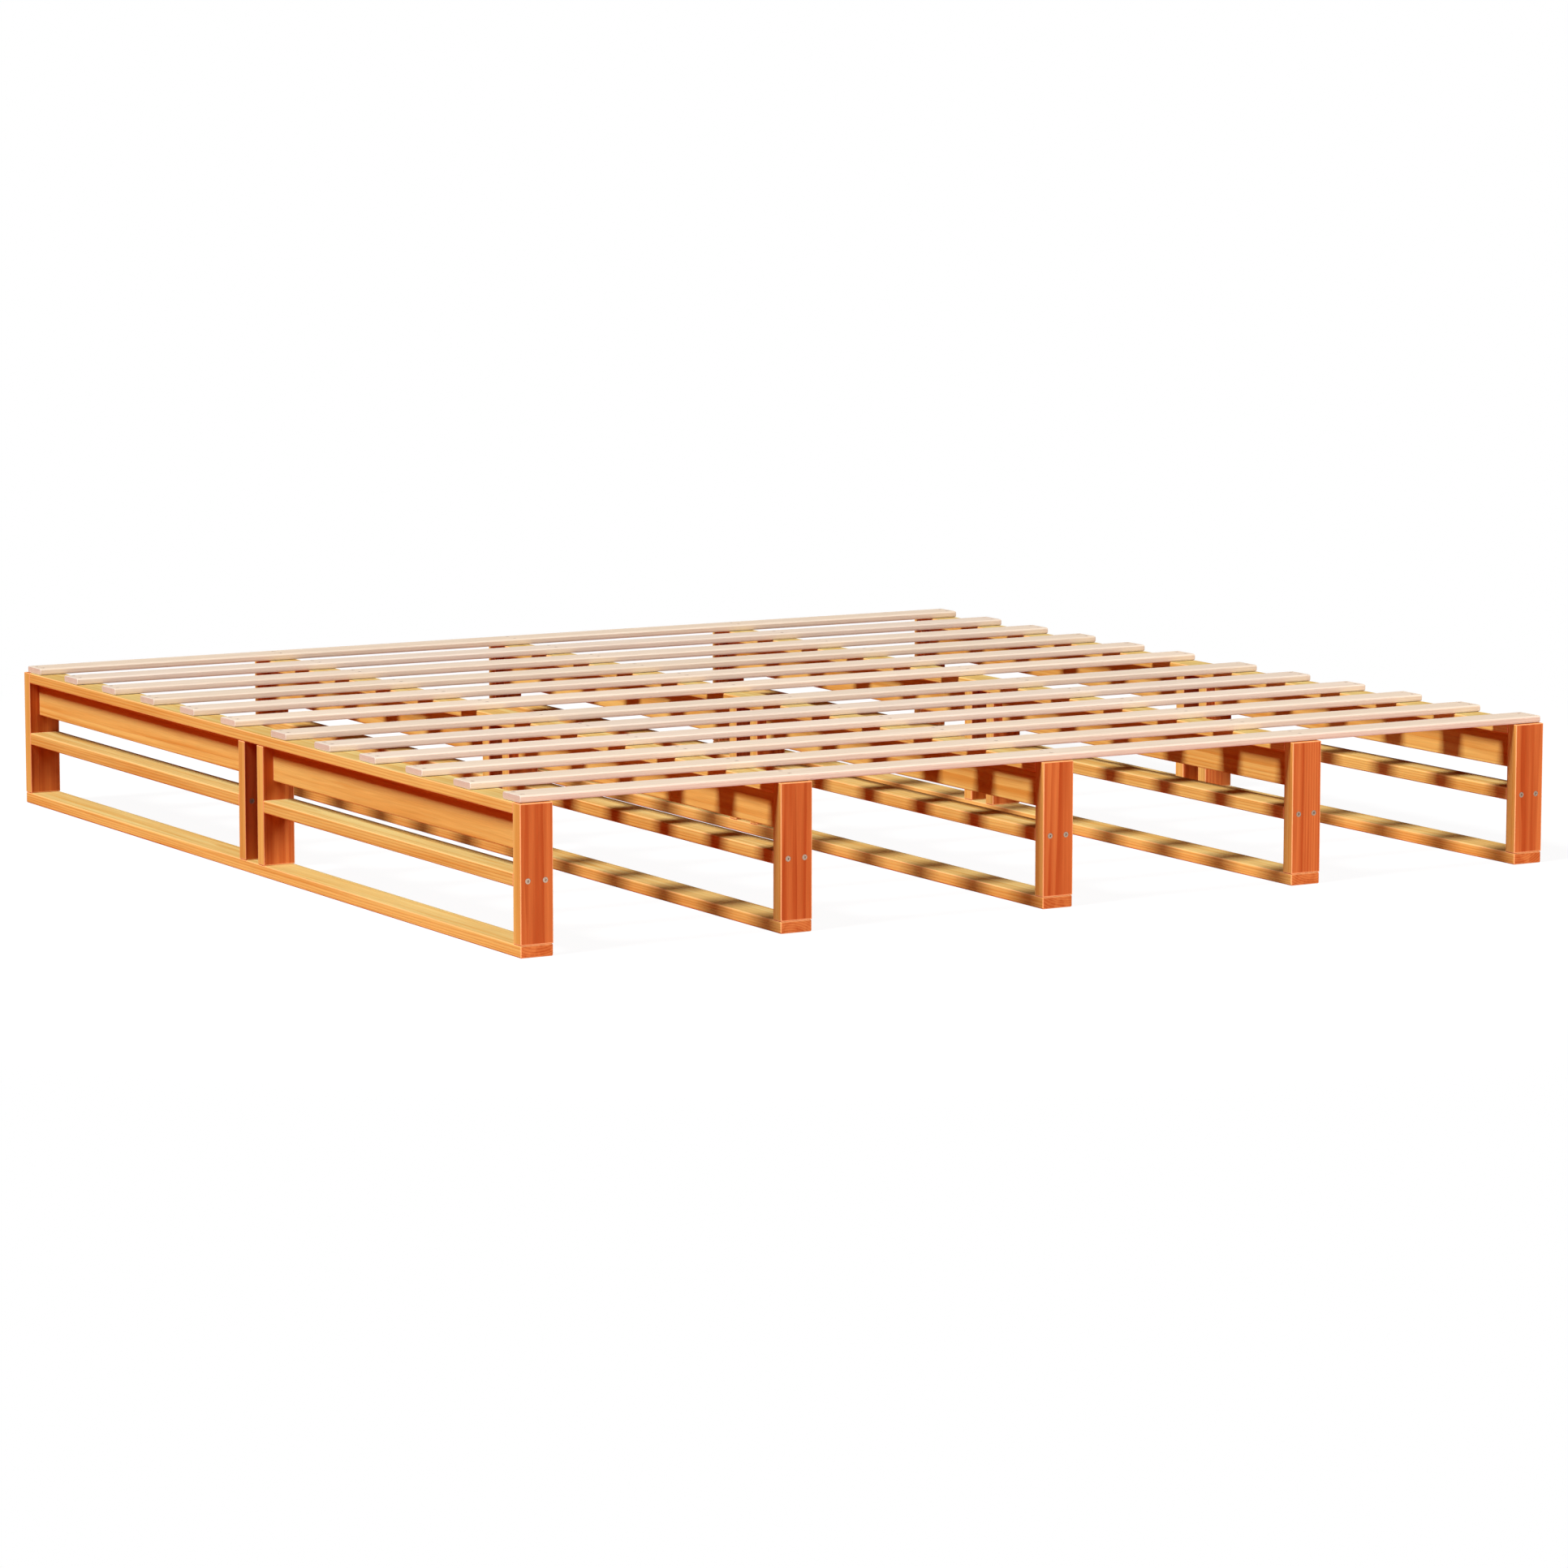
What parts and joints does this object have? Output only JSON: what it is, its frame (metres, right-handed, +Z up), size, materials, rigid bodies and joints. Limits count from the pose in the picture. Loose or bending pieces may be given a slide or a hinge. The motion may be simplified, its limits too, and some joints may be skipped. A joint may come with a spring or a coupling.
{
  "type": "slatted bed base",
  "caption": "Low square bed base of pine boards: open ladder frames run from front to back and slats run across them.",
  "frame": {"origin": "on the floor, under the middle of the bed", "axes": "+X along the slats to the right seen from the front, +Y from the front to the back, +Z up"},
  "size_m": [2, 2, 0.2573],
  "materials": {
    "stained_pine": "satin orange-brown stain over pine grain",
    "bare_pine": "planed and left bare, pale cream",
    "screw_steel": "zinc plated"
  },
  "bodies": {
    "root": {"frame_1_bottom_rail": "stained_pine", "frame_1_top_rail": "stained_pine", "frame_1_front_post": "stained_pine", "frame_1_back_post": "stained_pine", "frame_1_front_mid_post": "stained_pine", "frame_1_back_mid_post": "stained_pine", "frame_1_front_shelf_rail": "stained_pine", "frame_1_back_shelf_rail": "stained_pine", "frame_2_bottom_rail": "stained_pine", "frame_2_top_rail": "stained_pine", "frame_2_front_post": "stained_pine", "frame_2_back_post": "stained_pine", "frame_2_front_mid_post": "stained_pine", "frame_2_back_mid_post": "stained_pine", "frame_2_front_shelf_rail": "stained_pine", "frame_2_back_shelf_rail": "stained_pine", "frame_3_bottom_rail": "stained_pine", "frame_3_top_rail": "stained_pine", "frame_3_front_post": "stained_pine", "frame_3_back_post": "stained_pine", "frame_3_front_mid_post": "stained_pine", "frame_3_back_mid_post": "stained_pine", "frame_3_front_shelf_rail": "stained_pine", "frame_3_back_shelf_rail": "stained_pine", "frame_4_bottom_rail": "stained_pine", "frame_4_top_rail": "stained_pine", "frame_4_front_post": "stained_pine", "frame_4_back_post": "stained_pine", "frame_4_front_mid_post": "stained_pine", "frame_4_back_mid_post": "stained_pine", "frame_4_front_shelf_rail": "stained_pine", "frame_4_back_shelf_rail": "stained_pine", "frame_5_bottom_rail": "stained_pine", "frame_5_top_rail": "stained_pine", "frame_5_front_post": "stained_pine", "frame_5_back_post": "stained_pine", "frame_5_front_mid_post": "stained_pine", "frame_5_back_mid_post": "stained_pine", "frame_5_front_shelf_rail": "stained_pine", "frame_5_back_shelf_rail": "stained_pine", "slat_01": "bare_pine", "slat_02": "bare_pine", "slat_03": "bare_pine", "slat_04": "bare_pine", "slat_05": "bare_pine", "slat_06": "bare_pine", "slat_07": "bare_pine", "slat_08": "bare_pine", "slat_09": "bare_pine", "slat_10": "bare_pine", "slat_11": "bare_pine", "slat_12": "bare_pine"}
  },
  "joints": []
}
